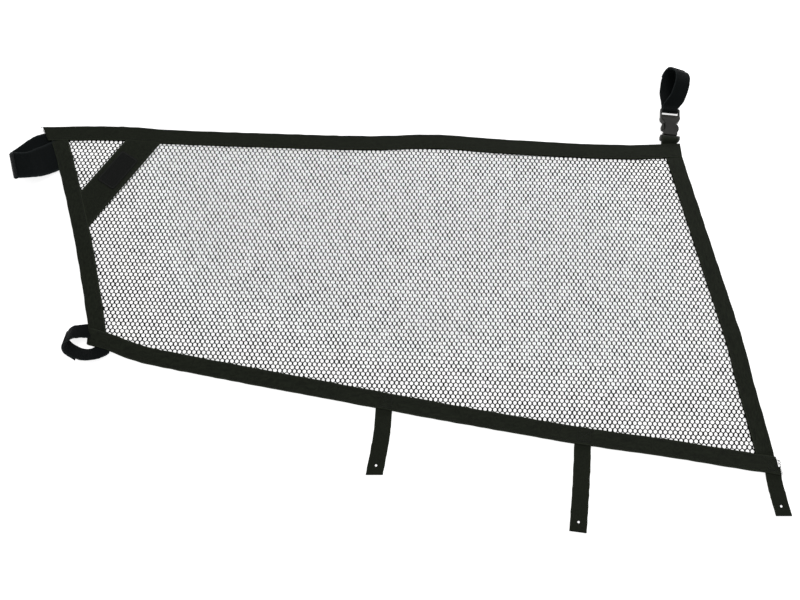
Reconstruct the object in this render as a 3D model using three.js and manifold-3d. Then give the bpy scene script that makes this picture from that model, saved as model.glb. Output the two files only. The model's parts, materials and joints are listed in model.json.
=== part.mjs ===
// Window net for the side opening of an off-road vehicle: a four-sided panel of coated mesh sewn
// between two layers of webbing, with hook-and-loop straps at three corners, a side-release buckle
// on one of them, and three screw-down tabs along the bottom edge.
//
// Millimetres. The net lies flat on its back: X across it, Y up it towards the top edge, +Z out of
// its front face. Everything is laid out in the net's plan, and the last lines move the whole net so
// that the origin is at the bottom centre of its box.
import * as THREE from 'three';
import { mergeVertices } from 'three/addons/utils/BufferGeometryUtils.js';
import Module from 'manifold-3d';

const wasm = await Module();
wasm.setup();

// Driving dimensions
const webWidth = 25.4; // one-inch webbing
const wideWidth = 50.8; // two-inch webbing
const webThick = 1.4;
const strapThick = 1.4; // hook-and-loop strap
const meshThick = 1.4;
const gap = 0.3; // between layers that touch
const tailGap = 0.6; // between a bent strap and the hook tail that is pressed onto it
const meshInset = 12.7; // the mesh stops this far inside the outer edge, between the two layers
const tabHole = 4; // diameter of a tab's screw hole
const tabHoleBack = 14; // from the tab's free end to the middle of its hole
const sideSteps = 16; // straight pieces in one side of the border
const loopSteps = 40; // straight pieces round one loop

// Heights of the layers
const backZ = 0;
const meshZ = backZ + webThick + gap;
const frontZ = meshZ + meshThick + gap;
const labelZ = frontZ + webThick + gap;
const labelThick = 0.5;

// Outer edge of the border, side by side, clockwise as seen from the front
const point = (x, y) => new THREE.Vector2(x, y);
const sides = {
  top: new THREE.SplineCurve([
    point(-591, 304), point(-468, 305), point(-369, 298), point(-210, 291.5), point(-60, 287),
    point(60, 289.5), point(150, 282), point(285, 273), point(379, 270), point(458, 273),
  ]),
  right: new THREE.SplineCurve([
    point(454.5, 273), point(505, -2), point(517.5, -72), point(525.5, -141), point(543, -268),
  ]),
  bottom: new THREE.SplineCurve([
    point(548, -270), point(457, -255), point(372, -241), point(300, -231), point(172, -209.5),
    point(-71, -164), point(-340, -111.5), point(-400, -97), point(-440, -82), point(-475, -71.5),
  ]),
  left: new THREE.SplineCurve([
    point(-469.5, -60), point(-480.2, -15), point(-512, 102), point(-551, 223), point(-580, 303),
  ]),
};

// Materials
const webbing = new THREE.MeshStandardMaterial({ color: 0x1a1d18, roughness: 0.85, metalness: 0 });
const netting = new THREE.MeshStandardMaterial({ color: 0x2b2c2b, roughness: 0.6, metalness: 0 });
const hookLoop = new THREE.MeshStandardMaterial({ color: 0x101314, roughness: 0.95, metalness: 0 });
const plastic = new THREE.MeshStandardMaterial({ color: 0x2c2c29, roughness: 0.5, metalness: 0 });
const woven = new THREE.MeshStandardMaterial({ color: 0x141614, roughness: 0.8, metalness: 0 });

const net = new THREE.Group();

function addPiece(name, geometry, material, parent = net) {
  const mesh = new THREE.Mesh(geometry, material);
  mesh.name = name;
  parent.add(mesh);
  return mesh;
}

// A closed geometry as a solid that can be cut and joined
function solidOf(geometry) {
  const bare = geometry.clone();
  bare.deleteAttribute('normal');
  bare.deleteAttribute('uv');
  const merged = mergeVertices(bare);
  return new wasm.Manifold(new wasm.Mesh({
    numProp: 3,
    vertProperties: new Float32Array(merged.attributes.position.array),
    triVerts: new Uint32Array(merged.index.array),
  }));
}

function geometryOf(solid) {
  const result = solid.getMesh();
  const geometry = new THREE.BufferGeometry();
  geometry.setAttribute('position', new THREE.BufferAttribute(result.vertProperties, 3));
  geometry.setIndex(new THREE.BufferAttribute(result.triVerts, 1));
  geometry.computeVertexNormals();
  return geometry;
}

function cut(geometry, ...tools) {
  let solid = solidOf(geometry);
  for (const tool of tools) {
    solid = solid.subtract(solidOf(tool));
  }
  return geometryOf(solid);
}

function join(first, ...others) {
  let solid = solidOf(first);
  for (const other of others) {
    solid = solid.add(solidOf(other));
  }
  return geometryOf(solid);
}

// A plate of the given plan outline, standing on height z
function plate(outline, z, thick) {
  const shape = new THREE.Shape(outline);
  return new THREE.ExtrudeGeometry(shape, { depth: thick, bevelEnabled: false }).translate(0, 0, z);
}

// A point on a side of the border, moved inwards by inset
function sidePoint(side, share, inset) {
  const at = sides[side].getPointAt(share);
  const along = sides[side].getTangentAt(share);
  return point(at.x + along.y * inset, at.y - along.x * inset);
}

// The points along a side, inset from its outer edge, between two shares of its length
function sideLine(side, inset, from = 0, to = 1) {
  const line = [];
  for (let i = 0; i <= sideSteps; i += 1) {
    line.push(sidePoint(side, from + ((to - from) * i) / sideSteps, inset));
  }
  return line;
}

// Border strips: the top and bottom ones run the whole way, and the side ones butt against them
const slant = { top: 0.014, bottom: 0.009, left: 0, right: 0 }; // its first end is cut at a slant
function stripOutline(side) {
  const outer = sideLine(side, 0);
  const inner = sideLine(side, webWidth, slant[side]);
  return [...outer, ...inner.reverse()];
}

// The space of a whole strip and its gap, through every layer, for cutting what butts against it.
// It reaches outwards by the given distance.
const tall = 12;
function stripSpace(side, outwards) {
  const outline = [...sideLine(side, -outwards), ...sideLine(side, webWidth + gap).reverse()];
  return plate(outline, -tall / 4, tall);
}

for (const [layer, z] of [['front', frontZ], ['back', backZ]]) {
  for (const side of ['top', 'bottom']) {
    addPiece(`${layer}_${side}_webbing`, plate(stripOutline(side), z, webThick), webbing);
  }
  for (const side of ['left', 'right']) {
    const strip = plate(stripOutline(side), z, webThick);
    const trimmed = cut(strip, stripSpace('top', webWidth), stripSpace('bottom', webWidth));
    addPiece(`${layer}_${side}_webbing`, trimmed, webbing);
  }
}

// Mesh panel, held between the two layers of webbing
const cornerTrim = 0.028; // its corners are cut off under the border
const panelOutline = Object.keys(sides).flatMap((side) => (
  sideLine(side, meshInset, side === 'left' ? 0.06 : cornerTrim, 1 - cornerTrim)
));
addPiece('mesh_panel', plate(panelOutline, meshZ, meshThick), netting);

// Corner gusset: two-inch webbing across the upper left corner, butted to the top and left strips
const gussetAt = point(-456, 223);
const gussetAngle = THREE.MathUtils.degToRad(56.3);
const gussetReach = 130;
function placedPlate(outline, at, angle, z, thick) {
  return plate(outline, 0, thick).rotateZ(angle).translate(at.x, at.y, z);
}

function roundedRectangle(length, width, radius) {
  const x = length / 2 - radius;
  const y = width / 2 - radius;
  const shape = new THREE.Shape();
  shape.absarc(x, y, radius, 0, Math.PI / 2);
  shape.absarc(-x, y, radius, Math.PI / 2, Math.PI);
  shape.absarc(-x, -y, radius, Math.PI, Math.PI * 1.5);
  shape.absarc(x, -y, radius, Math.PI * 1.5, Math.PI * 2);
  return shape.getPoints(4);
}

function gusset() {
  const half = wideWidth / 2;
  const band = placedPlate(
    [point(-gussetReach, -half), point(gussetReach, -half), point(gussetReach, half), point(-gussetReach, half)],
    gussetAt, gussetAngle, frontZ, webThick,
  );
  const inside = plate([
    ...sideLine('top', webWidth + gap, 0.07, 0.5),
    ...sideLine('left', webWidth + gap, 0.3, 0.85),
  ], frontZ - webThick, webThick * 4);
  return geometryOf(solidOf(band).intersect(solidOf(inside)));
}
addPiece('corner_gusset', gusset(), webbing);

const labelSize = { length: 64, width: 34, radius: 3 };
const labelOutline = roundedRectangle(labelSize.length, labelSize.width, labelSize.radius);
addPiece('blank_label', placedPlate(labelOutline, gussetAt, gussetAngle, labelZ, labelThick), woven);

// Tabs: one-inch webbing hanging from the bottom strip, each along its own middle line. The first
// and the last are cut off straight across the net.
const tabs = [
  [point(-23.5, -160), point(-24.8, -190), point(-28.5, -222), point(-38, -274)],
  [point(265.5, -215), point(260, -270), point(249.5, -349)],
  [point(534, -258), point(536.5, -290), point(543, -334)],
];
const tabEnds = [-269, -360, -327];
const tabSteps = 10;
function tab(middle, endY) {
  const line = new THREE.SplineCurve(middle);
  const half = webWidth / 2;
  const edge = (side) => Array.from({ length: tabSteps + 1 }, (_, i) => {
    const at = line.getPointAt(i / tabSteps);
    const along = line.getTangentAt(i / tabSteps);
    return point(at.x + along.y * side * half, at.y - along.x * side * half);
  });
  const beyond = Math.max(0, endY - middle.at(-1).y);
  const holeAt = line.getPointAt(1 - (tabHoleBack + beyond) / line.getLength());
  const hole = new THREE.CylinderGeometry(tabHole / 2, tabHole / 2, tall, 16)
    .rotateX(Math.PI / 2).translate(holeAt.x, holeAt.y, 0);
  const strip = plate([...edge(-1), ...edge(1).reverse()], backZ, webThick);
  const end = new THREE.BoxGeometry(webWidth * 2, webWidth, tall).translate(holeAt.x, endY - webWidth / 2, 0);
  return cut(strip, hole, end, stripSpace('bottom', gap));
}
tabs.forEach((middle, i) => addPiece(`bottom_tab_${i + 1}`, tab(middle, tabEnds[i]), webbing));

// A strap bent along a smooth line. Each station holds a point on the strap's middle line and the
// direction across the strap there; the strap keeps its full width square to the line, up to a limit
// on how much longer its slanted width gets. A tail is lifted off the line, and slid across it.
const mostSkew = 1.15;
function strap(stations, width, thick, from = 0, to = 1, lift = 0, slide = 0) {
  const middle = new THREE.CatmullRomCurve3(stations.map((s) => new THREE.Vector3(s[0], s[1], s[2])),
    false, 'catmullrom', 0.5);
  const across = new THREE.CatmullRomCurve3(stations.map((s) => new THREE.Vector3(s[3], s[4], s[5])),
    false, 'catmullrom', 0.5);
  const steps = Math.round(loopSteps * (to - from));
  const geometry = new THREE.BoxGeometry(1, 1, 1, steps, 1, 1);
  const position = geometry.attributes.position;
  for (let i = 0; i < position.count; i += 1) {
    const share = from + (to - from) * (position.getX(i) + 0.5);
    const along = middle.getTangent(share);
    const wide = across.getPoint(share).normalize();
    const up = new THREE.Vector3().crossVectors(along, wide);
    const stretch = width * Math.min(1 / up.length(), mostSkew);
    up.normalize();
    const at = middle.getPoint(share)
      .addScaledVector(wide, position.getY(i) * stretch + slide)
      .addScaledVector(up, position.getZ(i) * thick + lift);
    position.setXYZ(i, at.x, at.y, at.z);
  }
  return geometry;
}

// The hook-faced tail that closes a loop, lying on the outside of its bend
function tail(stations, width, span) {
  return strap(stations, width, strapThick, span.from, span.to, strapThick + tailGap, span.slide);
}

// Upper left loop, two inches wide. Its stations are out from the left edge, up along that edge,
// height, and the strap's tilt and its turn in plan in degrees.
const upperLeftRoot = point(-564.5, 252.5);
const upperLeftUp = point(-0.409, 0.912);
function upperLeftStation(out, up, height, tilt, turn = 0) {
  const flat = Math.cos(THREE.MathUtils.degToRad(tilt));
  const across = upperLeftUp.clone().rotateAround(point(0, 0), -THREE.MathUtils.degToRad(turn));
  return [
    upperLeftRoot.x - upperLeftUp.y * out + upperLeftUp.x * up,
    upperLeftRoot.y + upperLeftUp.x * out + upperLeftUp.y * up,
    height,
    across.x * flat, across.y * flat, Math.sin(THREE.MathUtils.degToRad(tilt)),
  ];
}
const rootTurn = 3.5;
const upperLeftLoop = [
  upperLeftStation(-2.6, 18, 0.8, 0, rootTurn),
  upperLeftStation(13, 17, 4, 2, 2),
  upperLeftStation(34, 10, 9.5, -2, 3),
  upperLeftStation(54, 2, 14.5, -7, 4),
  upperLeftStation(62.5, -4, 19.5, -8, 4),
  upperLeftStation(56, -9, 24.5, -8, 4),
  upperLeftStation(36, -15.5, 22.5, -4, 3),
  upperLeftStation(15, -10.5, 12, 2, 2),
  upperLeftStation(-1.4, -3, 2.9, 0, rootTurn),
];

// Lower left loop, one inch wide, round the lower left corner
const lowerLeftLoop = [
  [-476, -53.5, 6, -0.05, -1, 0.42],
  [-483, -55.5, 9.5, 0, -1, 0.45],
  [-492, -59.5, 13.5, 0, -1, 0.52],
  [-498.5, -69, 14.5, 0.05, -1, 0.6],
  [-495, -80, 12.5, 0.1, -1, 0.62],
  [-483, -88.5, 10.5, 0.1, -1, 0.6],
  [-468, -93, 9, 0.05, -1, 0.6],
  [-453, -91, 7.5, 0.15, -1, 0.55],
  [-443, -84.5, 5.4, 0.45, -1, 0.4],
];

for (const [name, stations, width, tailSpan] of [
  ['upper_left', upperLeftLoop, wideWidth, { from: 0.4, to: 0.62, slide: 0 }],
  ['lower_left', lowerLeftLoop, webWidth, { from: 0.34, to: 0.6, slide: 1.5 }],
]) {
  const whole = strap(stations, width, strapThick);
  addPiece(`${name}_loop`, cut(whole, stripSpace('top', gap), stripSpace('bottom', gap)), hookLoop);
  addPiece(`${name}_hook_tail`, tail(stations, width, tailSpan), hookLoop);
}

// Buckle strap at the upper right, in its own frame: X across the webbing, Y away from the border,
// Z up. Y is measured from the border's outer edge.
const buckle = new THREE.Group();
buckle.position.set(440.6, 272.8, 0);
buckle.rotation.z = THREE.MathUtils.degToRad(-6.3);
net.add(buckle);

const female = { start: 12.6, end: 64.4, half: 15.8, thick: 11.6 };
const buckleMiddle = female.thick / 2;
const mouthHalf = 11.4;
const notchHalf = 8.6;
const cavity = { half: 10, end: 43, thick: 7 };
const femaleEnd = { from: 44, to: 51, thick: 5 }; // it thins from one to the other, then stays thin
const femaleSlot = { from: 51.5, half: 13.4 };
const femaleBar = { at: 61.3, radius: 2 };

// A box between two corners
function box(low, high) {
  const size = high.map((value, i) => value - low[i]);
  return new THREE.BoxGeometry(...size).translate(...low.map((value, i) => value + size[i] / 2));
}

// A moulded plate: a plan outline with softened top and bottom edges, centred on the buckle
function moulding(shape, thick, bevel = 0.8) {
  return new THREE.ExtrudeGeometry(shape, {
    depth: thick - bevel * 2,
    bevelThickness: bevel,
    bevelSize: bevel,
    bevelOffset: -bevel,
    bevelSegments: 2,
    curveSegments: 4,
  }).translate(0, 0, buckleMiddle - thick / 2 + bevel);
}

function mirrored(points) {
  return [...points, ...points.map(([x, y]) => [-x, y]).reverse()].map(([x, y]) => point(x, y));
}

// Female half: a flat socket, open at the mouth and at the two notches where the arms show, with a
// round bar at its far end for the loop to turn on
function femaleHalf() {
  const outline = new THREE.Shape(mirrored([
    [mouthHalf - 1.2, female.start],
    [mouthHalf, female.start + 1.2],
    [mouthHalf, 18],
    [notchHalf + 0.8, 21.5],
    [notchHalf, 27],
    [notchHalf + 0.6, 34],
    [mouthHalf + 0.6, 38.5],
    [female.half - 1, 41.5],
    [female.half, 44.5],
    [female.half, female.end - 2],
    [female.half - 2, female.end],
  ]));
  const outer = moulding(outline, female.thick);
  const hollow = box(
    [-cavity.half, female.start - 1, buckleMiddle - cavity.thick / 2],
    [cavity.half, cavity.end, buckleMiddle + cavity.thick / 2],
  );
  const slot = box([-femaleSlot.half, femaleSlot.from, -1], [femaleSlot.half, female.end + 1, female.thick + 1]);
  const thinned = new THREE.Shape([
    point(femaleEnd.from, female.thick), point(femaleEnd.to, buckleMiddle + femaleEnd.thick / 2),
    point(female.end + 1, buckleMiddle + femaleEnd.thick / 2), point(female.end + 1, female.thick + 1),
    point(femaleEnd.from, female.thick + 1),
  ]);
  const above = new THREE.ExtrudeGeometry(thinned, { depth: female.half * 2 + 2, bevelEnabled: false })
    .translate(0, -buckleMiddle, -female.half - 1).rotateX(Math.PI / 2).rotateZ(Math.PI / 2)
    .translate(0, 0, buckleMiddle);
  const below = above.clone().translate(0, 0, -buckleMiddle).rotateY(Math.PI).translate(0, 0, buckleMiddle);
  const bar = new THREE.CylinderGeometry(femaleBar.radius, femaleBar.radius, femaleSlot.half * 2 + 2, 20)
    .rotateZ(Math.PI / 2).translate(0, femaleBar.at, buckleMiddle);
  return join(cut(outer, hollow, slot, above, below), bar);
}

// Male half: a frame with a slot and bar for the anchor webbing, and a guide tongue
const male = { half: 16, start: 4.1, end: 12.2, thick: 8 };
const maleSlot = { from: 6.9, to: 10.3, half: 13.1 };
const tongue = { half: 3, end: 27, thick: 4.5 };
function maleHalf() {
  const outline = new THREE.Shape(mirrored([
    [male.half - 1.6, male.start],
    [male.half, male.start + 1.6],
    [male.half, male.end - 1],
    [male.half - 1, male.end],
  ]));
  const frame = moulding(outline, male.thick, 0.6);
  const guide = box(
    [-tongue.half, male.end - 1, buckleMiddle - tongue.thick / 2],
    [tongue.half, tongue.end, buckleMiddle + tongue.thick / 2],
  );
  const slot = box([-maleSlot.half, maleSlot.from, -1], [maleSlot.half, maleSlot.to, female.thick + 1]);
  return cut(join(frame, guide), slot);
}

// Locking arms: each is a springy prong with a squeeze pad that shows in the female half's notch
const armThick = 6;
function arm(side) {
  const outline = [
    [7.1, male.end + gap], [9.6, male.end + gap], [9.3, 19.8], [10.6, 21.3], [13.6, 22.8], [14.5, 25.4],
    [14.4, 29], [13.1, 32.6], [9.6, 35.6], [8.9, 38], [7.2, 38], [7.8, 33], [7.9, 26], [7.2, 20],
  ].map(([x, y]) => point(x * side, y));
  return moulding(new THREE.Shape(outline), armThick, 0.5);
}

// Anchor webbing: sewn under the top strip, round the male half's bar and back
const barMiddle = (male.start + maleSlot.from) / 2;
const anchorStations = [
  [0, 0.9, 1.1, 1, 0.16, 0],
  [0, barMiddle - 1, 0.95, 1, 0, 0],
  [0, maleSlot.from + 0.9, 1.1, 1, 0, 0],
  [0, maleSlot.from + 1.8, 3.2, 1, 0, 0],
  [0, maleSlot.from + 1.8, buckleMiddle, 1, 0, 0],
  [0, maleSlot.from + 1.8, 8.8, 1, 0, 0],
  [0, maleSlot.from + 0.6, 10.9, 1, 0, 0],
  [0, barMiddle, 11.1, 1, 0, 0],
  [0, male.start - 1.1, 10, 1, 0.04, 0],
  [0, 1.6, 6.8, 1, 0.13, 0],
  [0, 0.9, 3.5, 1, 0.16, 0],
];

// Upper right loop, one inch wide, round the female half's bar
const upperRightLoop = [
  [0, 58.1, 6.0, 1, 0, 0],
  [0, 58.6, 3.5, 1, 0, 0],
  [0, 61.2, 2.3, 1, 0, 0],
  [0, 66, 2.1, 1, 0.1, 0],
  [-0.8, 79, 1.3, 1, 0.14, 0],
  [-3.2, 101, 1, 1, 0.14, 0],
  [-1.2, 124, 5.4, 1, 0.05, -0.15],
  [7.2, 137, 11, 1, 0, -0.25],
  [17.2, 130.5, 19, 1, -0.05, -0.27],
  [19, 112, 21, 1, 0, -0.2],
  [11.5, 87, 15, 1, 0.05, -0.1],
  [1.8, 69, 9.8, 1, 0.05, 0],
  [0, 61.6, 9.3, 1, 0, 0],
  [0, 58.7, 8.4, 1, 0, 0],
  [0, 58.1, 6.4, 1, 0, 0],
];

const hookTailSpan = { from: 0.44, to: 0.54, slide: -1.5 };
addPiece('buckle_anchor_webbing', strap(anchorStations, webWidth, webThick), webbing, buckle);
addPiece('buckle_male_half', maleHalf(), plastic, buckle);
addPiece('buckle_left_arm', arm(-1), plastic, buckle);
addPiece('buckle_right_arm', arm(1), plastic, buckle);
addPiece('buckle_female_half', femaleHalf(), plastic, buckle);
addPiece('upper_right_loop', strap(upperRightLoop, webWidth, strapThick), hookLoop, buckle);
addPiece('upper_right_hook_tail', tail(upperRightLoop, webWidth, hookTailSpan), hookLoop, buckle);

// Origin at the bottom centre of the whole net
net.updateMatrixWorld(true);
const bounds = new THREE.Box3().setFromObject(net, true);
const middle = bounds.getCenter(new THREE.Vector3());
net.position.set(-middle.x, -middle.y, -bounds.min.z);

export default net;
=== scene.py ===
import json
import math
import random

import bmesh
import bpy
import numpy as np
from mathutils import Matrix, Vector


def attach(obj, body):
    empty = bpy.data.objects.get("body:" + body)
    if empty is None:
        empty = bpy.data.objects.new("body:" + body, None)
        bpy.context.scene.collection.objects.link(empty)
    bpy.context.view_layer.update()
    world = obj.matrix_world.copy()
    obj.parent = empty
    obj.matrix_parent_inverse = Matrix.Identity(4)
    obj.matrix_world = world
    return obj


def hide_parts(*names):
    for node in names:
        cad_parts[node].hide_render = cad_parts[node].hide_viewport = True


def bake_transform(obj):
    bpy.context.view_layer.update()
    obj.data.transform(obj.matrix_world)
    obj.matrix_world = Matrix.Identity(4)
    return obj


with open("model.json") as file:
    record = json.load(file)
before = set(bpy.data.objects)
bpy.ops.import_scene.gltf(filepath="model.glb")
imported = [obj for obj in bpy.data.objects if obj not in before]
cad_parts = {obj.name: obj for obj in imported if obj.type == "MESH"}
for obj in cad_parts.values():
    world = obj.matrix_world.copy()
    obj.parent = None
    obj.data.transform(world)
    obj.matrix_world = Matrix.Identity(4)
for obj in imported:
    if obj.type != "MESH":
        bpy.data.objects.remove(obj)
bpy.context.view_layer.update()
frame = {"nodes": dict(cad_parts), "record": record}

MM = 0.001
WEB = 25.4  # one-inch webbing
WIDE = 50.8  # two-inch webbing
WEB_THICK = 1.4
STRAP_THICK = 1.4
FRONT_Z = 4.1  # middle of the front layer of webbing
BACK_Z = 0.72  # middle of the back layer
MESH_Z = 2.4
SEW_Z = 2.4  # what is sewn between the two layers lies here

# The plan's own origin, from the mount on the net's back
BACK_MOUNT_PLAN = (88, -180)
mounts = {mount["name"]: mount["pos_m"] for mount in frame["record"]["mounts"]}
PLAN_X = mounts["net_back"][0] - BACK_MOUNT_PLAN[0] * MM
PLAN_Y = mounts["net_back"][1] - BACK_MOUNT_PLAN[1] * MM


def place(points):
    """Plan millimetres to metres in the frame."""
    moved = np.asarray(points, float) * MM
    moved[..., 0] += PLAN_X
    moved[..., 1] += PLAN_Y
    return moved


# ---------------------------------------------------------------- camera, floor and light
VIEW_TILT = math.radians(21)  # off the floor's normal
VIEW_DISTANCE = 1438
SENSOR = 36
FOCAL = 42.12
FLOOR_SIZE = 14  # metres
FLOOR_DROP = 0.0003  # metres under the net
FLOOR_GLOW = 0.76
WORLD_LIGHT = 0.4
# Each lamp's name, place and size in metres, and power in watts
LAMPS = [
    ("key", (1.5, 1.5, 2.1), 1.6, 26),
    ("fill", (-1.8, -0.6, 2.2), 2.0, 7),
    ("rim", (0.4, 2.6, 1.0), 1.2, 11),
]


def studio():
    """A camera over the net's front, a pale floor and soft lamps."""
    scene = bpy.context.scene
    scene.view_settings.view_transform = "Standard"
    camera = bpy.data.objects.new("camera", bpy.data.cameras.new("camera"))
    camera.data.sensor_width = SENSOR
    camera.data.lens = FOCAL
    camera.data.clip_start, camera.data.clip_end = 0.05, 20
    away = (0, -math.sin(VIEW_TILT) * VIEW_DISTANCE, math.cos(VIEW_TILT) * VIEW_DISTANCE)
    camera.location = place(away)
    camera.rotation_euler = (VIEW_TILT, 0, 0)
    scene.collection.objects.link(camera)
    scene.camera = camera

    bpy.ops.mesh.primitive_plane_add(size=FLOOR_SIZE, location=(0, 0, -FLOOR_DROP))
    floor = bpy.context.object
    floor.name = "floor"
    floor.data.materials.append(floor_material())

    world = bpy.data.worlds.new("studio")
    world.use_nodes = True
    sky = world.node_tree.nodes["Background"]
    sky.inputs["Color"].default_value = (1, 1, 1, 1)
    sky.inputs["Strength"].default_value = WORLD_LIGHT
    scene.world = world
    for name, spot, size, power in LAMPS:
        data = bpy.data.lights.new(name, "AREA")
        data.size, data.energy = size, power
        lamp = bpy.data.objects.new(name, data)
        lamp.location = spot
        lamp.rotation_euler = (-Vector(spot)).to_track_quat("-Z", "Y").to_euler()
        scene.collection.objects.link(lamp)


def floor_material():
    material = bpy.data.materials.new("floor")
    material.use_nodes = True
    shader = material.node_tree.nodes["Principled BSDF"]
    shader.inputs["Base Color"].default_value = (0.9, 0.9, 0.9, 1)
    shader.inputs["Roughness"].default_value = 0.9
    shader.inputs["Emission Color"].default_value = (1, 1, 1, 1)
    shader.inputs["Emission Strength"].default_value = FLOOR_GLOW
    return material


# ---------------------------------------------------------------- materials
class Nodes:
    """Short ways to add and join shader nodes."""

    def __init__(self, name):
        self.material = bpy.data.materials.new(name)
        self.material.use_nodes = True
        self.tree = self.material.node_tree
        self.shader = self.tree.nodes["Principled BSDF"]

    def add(self, kind, inputs=None, **settings):
        node = self.tree.nodes.new(kind)
        for key, value in settings.items():
            setattr(node, key, value)
        for key, value in (inputs or {}).items():
            self.put(value, node.inputs[key])
        return node

    def put(self, value, socket):
        if isinstance(value, bpy.types.NodeSocket):
            self.tree.links.new(value, socket)
        else:
            socket.default_value = value

    def maths(self, operation, a, b=0.0):
        return self.add("ShaderNodeMath", {0: a, 1: b}, operation=operation).outputs[0]

    def mix(self, factor, a, b):
        node = self.add("ShaderNodeMix", data_type="RGBA")
        self.put(factor, node.inputs[0])
        self.put((*a, 1) if isinstance(a, tuple) else a, node.inputs[6])
        self.put((*b, 1) if isinstance(b, tuple) else b, node.inputs[7])
        return node.outputs[2]

    def noise(self, scale, detail=2.0, vector=None):
        node = self.add("ShaderNodeTexNoise", {"Scale": scale, "Detail": detail})
        if vector is not None:
            self.put(vector, node.inputs["Vector"])
        return node.outputs[0]

    def ramp(self, value, low, high):
        node = self.add("ShaderNodeMapRange", {0: value, 1: low, 2: high})
        return node.outputs[0]

    def bump(self, height, strength, distance, under=None):
        inputs = {"Height": height, "Strength": strength, "Distance": distance}
        node = self.add("ShaderNodeBump", inputs)
        if under is not None:
            self.put(under, node.inputs["Normal"])
        return node.outputs[0]


def woven(name, dark, light, rib=1.25, pick=0.9, roughness=0.72, sheen=0.04, fuzz=0.0):
    """Webbing: ribs along its length crossed by finer picks, both spaced in millimetres, from the
    piece's own length and width in metres, which its UV map holds. fuzz turns it towards the
    napped face of hook and loop."""
    n = Nodes(name)
    where = n.add("ShaderNodeUVMap", uv_map="UVMap").outputs[0]
    parts = n.add("ShaderNodeSeparateXYZ", {0: where})
    along, across = parts.outputs[0], parts.outputs[1]
    turn = 2 * math.pi / MM
    warp = n.maths("SINE", n.maths("MULTIPLY", across, turn / rib))
    # every other rib's picks are shifted by half a pick, as a plain weave's are
    row = n.maths("ROUND", n.maths("DIVIDE", across, rib * MM))
    shift = n.maths("MULTIPLY", row, math.pi)
    weft = n.maths("SINE", n.maths("ADD", n.maths("MULTIPLY", along, turn / (2 * pick)), shift))
    weave = n.maths("ADD", n.maths("MULTIPLY", warp, 0.5), n.maths("MULTIPLY", weft, 0.5))
    coarse = n.noise(45, 4)
    fine = n.noise(2600, 2)
    nap = n.noise(900, 6)
    height = n.maths("ADD", n.maths("MULTIPLY", weave, 1 - fuzz), n.maths("MULTIPLY", fine, 0.5))
    height = n.maths("ADD", height, n.maths("MULTIPLY", nap, fuzz * 2.5))
    tone = n.maths("ADD", n.maths("MULTIPLY", weave, 0.22 * (1 - fuzz)), n.ramp(coarse, 0.3, 0.75))
    tone = n.maths("ADD", tone, n.maths("MULTIPLY", n.maths("SUBTRACT", nap, 0.5), 0.6 + fuzz))
    colour = n.mix(n.ramp(tone, -0.1, 1.35), dark, light)
    # the rounded edges are painted paler in patches: a painted highlight
    edge_highlight = n.add("ShaderNodeAttribute", attribute_name="edge").outputs[2]
    patchy = n.ramp(n.noise(160, 3), 0.3, 0.65)
    painted_highlight = n.maths("MULTIPLY", n.maths("MULTIPLY", edge_highlight, 0.55 + fuzz * 0.6), patchy)
    pale = tuple(min(1, c * 2.4 + 0.012) for c in light)
    n.put(n.mix(painted_highlight, colour, pale), n.shader.inputs["Base Color"])
    n.put(n.ramp(coarse, -2.2, 2.2 / roughness), n.shader.inputs["Roughness"])
    n.put(n.bump(height, 0.55, 0.00022), n.shader.inputs["Normal"])
    n.shader.inputs["Sheen Weight"].default_value = sheen
    n.shader.inputs["Sheen Roughness"].default_value = 0.45
    n.shader.inputs["Specular IOR Level"].default_value = 0.1 - fuzz * 0.08
    return n.material


def coated(name, colour, pale):
    """Vinyl-coated strands: a soft shine, a little uneven."""
    n = Nodes(name)
    uneven = n.noise(700, 3)
    broad = n.noise(9, 2)
    tone = n.maths("ADD", uneven, n.maths("MULTIPLY", broad, 0.6))
    n.put(n.mix(n.ramp(tone, 0.55, 1.05), colour, pale), n.shader.inputs["Base Color"])
    n.put(n.ramp(uneven, -0.9, 1.6), n.shader.inputs["Roughness"])
    n.put(n.bump(uneven, 0.5, 0.0002), n.shader.inputs["Normal"])
    n.shader.inputs["Specular IOR Level"].default_value = 0.15
    return n.material


def moulded(name, colour, pale):
    """Acetal with a fine spark-eroded grain; its sharp edges are painted paler in patches, a painted
    highlight.
    """
    n = Nodes(name)
    grain = n.noise(4200, 2)
    marks = n.noise(120, 5)
    edge = n.add("ShaderNodeNewGeometry").outputs["Pointiness"]
    # painted highlight on the sharp edges, broken into patches
    highlit = n.maths("MULTIPLY", n.ramp(edge, 0.51, 0.6), n.ramp(marks, 0.3, 0.65))
    base = n.mix(n.ramp(marks, 0.25, 0.8), colour, tuple(c * 1.35 for c in colour))
    n.put(n.mix(highlit, base, pale), n.shader.inputs["Base Color"])
    n.put(n.ramp(n.maths("ADD", grain, marks), -0.4, 2.6), n.shader.inputs["Roughness"])
    n.put(n.bump(grain, 0.35, 0.0001), n.shader.inputs["Normal"])
    n.shader.inputs["Specular IOR Level"].default_value = 0.2
    return n.material


WEBBING = woven("webbing", (0.006, 0.0078, 0.0042), (0.021, 0.0262, 0.0155))
NAPPED = woven("hook and loop", (0.0008, 0.0016, 0.0017), (0.0055, 0.0082, 0.0085), rib=2.1, pick=1.4,
               roughness=0.9, sheen=0.06, fuzz=0.7)
HOOKED = woven("hook tape", (0.0012, 0.002, 0.0021), (0.008, 0.0105, 0.011), rib=1.6, pick=1.6,
               roughness=0.7, sheen=0.05, fuzz=0.25)
LABEL = woven("label cloth", (0.0035, 0.004, 0.0035), (0.011, 0.0125, 0.011), rib=0.7, pick=0.5)
THREAD = woven("thread", (0.01, 0.011, 0.009), (0.03, 0.033, 0.028), rib=0.4, pick=0.6)
NETTING = coated("coated netting", (0.0035, 0.004, 0.0035), (0.011, 0.012, 0.011))
PLASTIC = moulded("buckle plastic", (0.004, 0.0041, 0.003), (0.05, 0.05, 0.043))


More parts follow.
